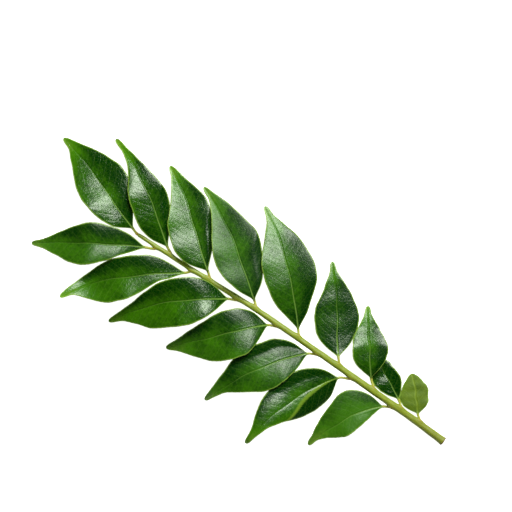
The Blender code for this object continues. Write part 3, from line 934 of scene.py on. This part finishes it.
def curry_sprig() -> Sprig:
    """The sprig with its sixteen leaflets.

    Returns:
        The sprig, not built yet.
    """
    left, tip, right = Row.LEFT, Row.TIP, Row.RIGHT
    leaflets = (
        Leaflet(
            "terminal_leaflet", tip, 139.2, (141.5, -0.2), (182.5, -13.5), -19, -11,
            (5.1, 7.2, 9.0, 9.0, 7.1, 3.6, 1.4), (3.6, 6.6, 9.4, 10.1, 7.6, 4.9, 2.7),
            crown=3.0, crest=0.28, base_rise=-0.8, fold=(9.5, 6, 3), roll=(10.5, 8, 2), camber=8.0,
            seed=1, tone=0.43,
        ),
        Leaflet(
            "left_leaflet_1", left, 130.0, (133.8, 3.2), (170.2, 26.0), 27, 34,
            (2.3, 3.8, 6.4, 8.1, 7.1, 4.1, 1.9), (3.2, 5.5, 7.5, 7.6, 5.8, 2.9, 1.6),
            crown=6.2, crest=0.5, fold=(5, 10, 9), roll=(0, 7, 7), camber=20.0, seed=2, satin=0.5,
        ),
        Leaflet(
            "left_leaflet_2", left, 114.3, (116.1, 2.7), (149.1, 36.0), 36, 64,
            (1.7, 2.9, 6.1, 8.2, 8.3, 4.9, 1.7), (3.5, 6.1, 7.8, 7.7, 5.9, 3.3, 2.0),
            crown=5.6, crest=0.48, lift=13.0, fold=(-1, 10, 2), roll=(9, 6, 24), camber=16.0, seed=3, satin=0.25,
        ),
        Leaflet(
            "left_leaflet_3", left, 94.2, (97.3, 1.6), (129.5, 34.1), 33, 62,
            (4.3, 7.2, 9.1, 9.4, 8.1, 4.5, 2.0), (4.8, 7.6, 8.8, 7.9, 5.7, 2.7, 1.5),
            crown=6.0, crest=0.38, fold=(1, 10, 8), roll=(22, 3, 4), camber=16.0, seed=4,
        ),
        Leaflet(
            "left_leaflet_4", left, 76.4, (79.5, 1.4), (106.1, 30.1), 41, 46,
            (4.9, 8.2, 9.7, 9.4, 7.7, 4.4, 2.1), (5.1, 7.6, 8.4, 7.6, 5.6, 3.4, 2.1),
            crown=5.6, crest=0.42, fold=(-5, 7, 6), roll=(19, 5, 6), camber=16.0, seed=5, satin=0.45,
        ),
        Leaflet(
            "left_leaflet_5", left, 58.0, (61.0, 1.7), (83.0, 38.1), 42, 70,
            (4.0, 6.5, 8.4, 8.4, 5.6, 2.0, 1.1), (4.9, 7.7, 9.0, 8.6, 6.5, 3.9, 2.2),
            crown=7.4, crest=0.62, fold=(3, -4.5, 4), roll=(19, 7.5, 6), camber=16.0, seed=6, satin=0.5,
            creases=(Crease(-1, -30.0, (0.66, 0.62, 0.58, 0.68, 1.5), soft=0.09),),
        ),
        Leaflet(
            "left_leaflet_6", left, 42.3, (46.4, 2.8), (61.5, 42.3), 50, 84,
            (5.2, 7.1, 8.0, 6.6, 4.2, 1.8, 1.2), (4.9, 7.5, 9.0, 9.0, 6.9, 3.8, 1.8),
            crown=5.6, crest=0.78, tip_height=8.5, fold=(-2, -7, -6), roll=(2, 1, 6), camber=32.0,
            seed=7, satin=0.25, midrib=0.3,
            creases=(
                Crease(1, 22.0, (0.0, 0.1, 0.35, 0.95, 1.6), strip=1.2),
                Crease(-1, -26.0, (0.5, 0.55, 0.57, 0.8, 1.5)),
            ),
        ),
        Leaflet(
            "left_leaflet_7", left, 23.6, (26.5, 2.4), (41.2, 30.1), 40, 76,
            (1.9, 3.3, 5.0, 5.7, 4.5, 1.9, 0.8), (4.5, 7.6, 9.5, 8.3, 6.0, 3.6, 2.0),
            crown=3.8, crest=0.5, fold=(2, 4, 2), roll=(2, 5, 8), seed=8, tone=0.82, satin=1.0,
        ),
        Leaflet(
            "right_leaflet_1", right, 124.4, (126.9, -1.8), (166.0, -24.3), -37, -14,
            (4.8, 7.0, 7.9, 7.0, 4.1, 1.7, 1.1), (2.3, 4.0, 6.3, 6.2, 4.1, 2.0, 1.2),
            crown=4.0, crest=0.55, base_rise=-0.8, fold=(2, 6, 6), roll=(4, 10, 13), camber=10.0,
            seed=9, tone=0.45,
            creases=(Crease(-1, 35.0, (0.75, 0.58, 0.62, 1.5, 1.8)),),
        ),
        Leaflet(
            "right_leaflet_2", right, 107.2, (109.4, -2.9), (143.3, -27.4), -37, -24,
            (5.8, 8.8, 9.9, 9.1, 6.7, 3.6, 1.8), (2.6, 5.0, 7.3, 7.8, 6.7, 3.8, 2.1),
            crown=2.6, crest=0.08, tip_height=1.8, base_rise=-1.2, fold=(5, 12, 13), roll=(2, 6, 14), camber=8.0,
            seed=10, satin=0.25, creases=(Crease(-1, 37.0, (0.85, 0.6, 0.64, 1.3, 1.8)),),
        ),
        Leaflet(
            "right_leaflet_3", right, 86.9, (89.0, -3.8), (128.2, -27.9), -38, -19,
            (4.4, 7.1, 9.1, 8.8, 5.8, 2.8, 1.2), (4.3, 6.6, 8.9, 9.2, 6.9, 4.3, 2.3),
            crown=3.3, crest=0.15, tip_height=5.6, fold=(8, 12, 9), roll=(5, 8, 9), seed=11, satin=0.9,
            creases=(Crease(-1, 26.0, (0.85, 0.64, 0.68, 1.4, 1.8)),),
        ),
        Leaflet(
            "right_leaflet_4", right, 67.4, (69.2, -4.0), (105.3, -34.9), -49, -27,
            (3.7, 6.8, 8.9, 9.4, 7.9, 4.3, 1.8), (3.5, 6.2, 9.7, 10.1, 7.8, 4.0, 1.8),
            crown=4.3, crest=0.44, tip_height=1.9, lift=2.5, fold=(4, 6, 1), roll=(2, 5, 20), camber=8.0,
            seed=12, satin=0.45,
        ),
        Leaflet(
            "right_leaflet_5", right, 48.9, (50.8, -3.8), (72.6, -32.0), -52, -44,
            (4.2, 6.9, 8.6, 8.2, 5.9, 3.2, 1.5), (3.9, 6.4, 8.1, 7.8, 5.6, 3.0, 1.4),
            crown=-1.8, crest=0.3, fold=(-8, 2, 4), roll=(2, 4, 6), seed=13, tone=0.3, satin=0.3,
        ),
        Leaflet(
            "right_leaflet_6", right, 33.2, (36.2, -4.2), (52.0, -25.8), -50, -56,
            (3.0, 5.2, 6.6, 6.3, 4.7, 2.6, 1.3), (3.1, 5.4, 6.8, 6.5, 4.8, 2.6, 1.3),
            crown=2.8, crest=0.4, fold=(6, 6, 4), roll=(4, 4, 6), seed=14, satin=0.3,
        ),
        Leaflet(
            "right_leaflet_7", right, 20.6, (23.1, -3.3), (43.6, -12.6), -32, -18,
            (2.3, 4.0, 5.4, 5.4, 4.3, 2.6, 1.4), (2.3, 3.7, 4.6, 4.2, 3.1, 1.8, 1.0),
            # its tone of 0.2 is painted shade, for the shade it lies in under its neighbour
            crown=0.5, fold=(6, 6, 6), roll=(0, 0, 0), seed=15, tone=0.2,
        ),
        Leaflet(
            "right_leaflet_8", right, 11.6, (13.8, -2.9), (24.1, -14.0), -52, -40,
            (3.0, 4.9, 6.0, 6.1, 5.2, 3.7, 2.4), (2.2, 3.6, 4.7, 4.9, 4.4, 3.2, 2.1),
            crown=0.2, end_widths=(0.0, 1.0), fold=(-2, -2, 0), roll=(-4, -5, -2), face=Face.UNDER, seed=16,
        ),
    )
    return Sprig(Rachis(), leaflets)


@dataclass(frozen=True)
class Studio:
    """The pale floor, the soft light and the camera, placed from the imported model's box."""

    to_middle: tuple[float, float] = (97.5, -17.6)  # mm in the sprig's frame, under the camera
    picture_width: float = 0.192
    camera_height: float = 0.8
    sensor_width: float = 36.0  # mm
    clip: tuple[float, float] = (0.01, 20.0)
    right: Vector = Vector((-0.8262, -0.5632, 0.0))  # what points right in the picture
    floor_size: float = 6.0
    paper: Colour = (0.9, 0.9, 0.9, 1.0)
    paper_roughness: float = 0.9
    key_direction: Vector = Vector((0.127, -0.657, 0.743))
    key_distance: float = 1.2
    key_size: float = 0.5
    key_power: float = 17.5
    fill: float = 0.19
    fill_in_gloss: float = 0.004
    glow: float = 0.97  # what the floor gives off, so that it stays pale
    dim_in_gloss: float = 0.85  # how much darker the floor is where the gloss mirrors it

    def floor(self) -> None:
        """A wide pale floor at the height that the sprig lies on. It glows a little, and is darker to a
        glossy reflection so that the leaflets' lower margins don't mirror it."""
        half = self.floor_size / 2
        corners = [(-half, -half, 0), (half, -half, 0), (half, half, 0), (-half, half, 0)]
        mesh = bpy.data.meshes.new("floor")
        mesh.from_pydata(corners, [], [(0, 1, 2, 3)])
        floor = bpy.data.objects.new("floor", mesh)
        g = Graph(bpy.data.materials.new("floor"))
        paper = {"Base Color": self.paper, "Roughness": self.paper_roughness}
        glowing = paper | {"Emission Color": WHITE, "Emission Strength": self.glow}
        bright = g.read("ShaderNodeBsdfPrincipled", "BSDF", None, glowing)
        dark = g.read("ShaderNodeBsdfDiffuse", "BSDF", None, {"Color": BLACK})
        in_gloss = self.dim_in_gloss * g.read("ShaderNodeLightPath", "Is Glossy Ray")
        either = g.read("ShaderNodeMixShader", 0, None, {0: in_gloss, 1: bright, 2: dark})
        g.output("ShaderNodeOutputMaterial", either)
        mesh.materials.append(g.owner)
        bpy.context.scene.collection.objects.link(floor)

    def light(self) -> None:
        """One large soft light from above the right row, in a dim even surround that looks white."""
        lamp = bpy.data.lights.new("key", "AREA")
        lamp.shape = "SQUARE"
        lamp.size = self.key_size
        lamp.energy = self.key_power
        key = bpy.data.objects.new("key", lamp)
        direction = self.key_direction.normalized()
        key.matrix_world = Matrix.Translation(direction * self.key_distance) @ (
            direction.to_track_quat("Z", "Y").to_matrix().to_4x4()
        )
        bpy.context.scene.collection.objects.link(key)

        g = Graph(bpy.data.worlds.new("surround"))
        around = self.surround(g, self.fill)
        for test, strength in (("Is Glossy Ray", self.fill_in_gloss), ("Is Camera Ray", 1.0)):
            ray = g.read("ShaderNodeLightPath", test)
            around = g.read("ShaderNodeMixShader", 0, None, {0: ray, 1: around, 2: self.surround(g, strength)})
        g.output("ShaderNodeOutputWorld", around)
        bpy.context.scene.world = g.owner

    def surround(self, g: Graph, strength: float) -> Value:
        """An even white surround of that strength."""
        return g.read("ShaderNodeBackground", 0, None, {"Color": WHITE, "Strength": strength})

    def camera(self, offset: Array) -> None:
        """A camera straight above, turned so that the rachis runs from the lower right to the upper left.

        Args:
            offset: What moves the sprig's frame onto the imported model, in mm.
        """
        lens = bpy.data.cameras.new("camera")
        lens.sensor_width = self.sensor_width
        lens.lens = self.sensor_width * self.camera_height / self.picture_width
        lens.clip_start, lens.clip_end = self.clip
        camera = bpy.data.objects.new("camera", lens)
        up = Vector((0, 0, 1)).cross(self.right)
        turn = Matrix((self.right, up, (0, 0, 1))).transposed().to_4x4()
        above = Vector(((self.to_middle[0] + offset[0]) * MM, (self.to_middle[1] + offset[1]) * MM, 0.0))
        above.z = self.camera_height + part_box("rachis")[1].z / 2
        camera.matrix_world = Matrix.Translation(above) @ turn
        bpy.context.scene.collection.objects.link(camera)
        bpy.context.scene.camera = camera

    def build(self, offset: Array) -> None:
        """Sets up the floor, the light, the camera and how the picture is toned.

        Args:
            offset: What moves the sprig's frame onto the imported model, in mm.
        """
        self.floor()
        self.light()
        self.camera(offset)
        bpy.context.scene.view_settings.view_transform = "Standard"


def main() -> None:
    """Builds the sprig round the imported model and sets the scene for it."""
    logging.basicConfig(level=logging.INFO, format="%(message)s")
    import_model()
    sprig = curry_sprig()
    sprig.build()
    Studio().build(sprig.rachis.offset())


if __name__ == "__main__":
    main()
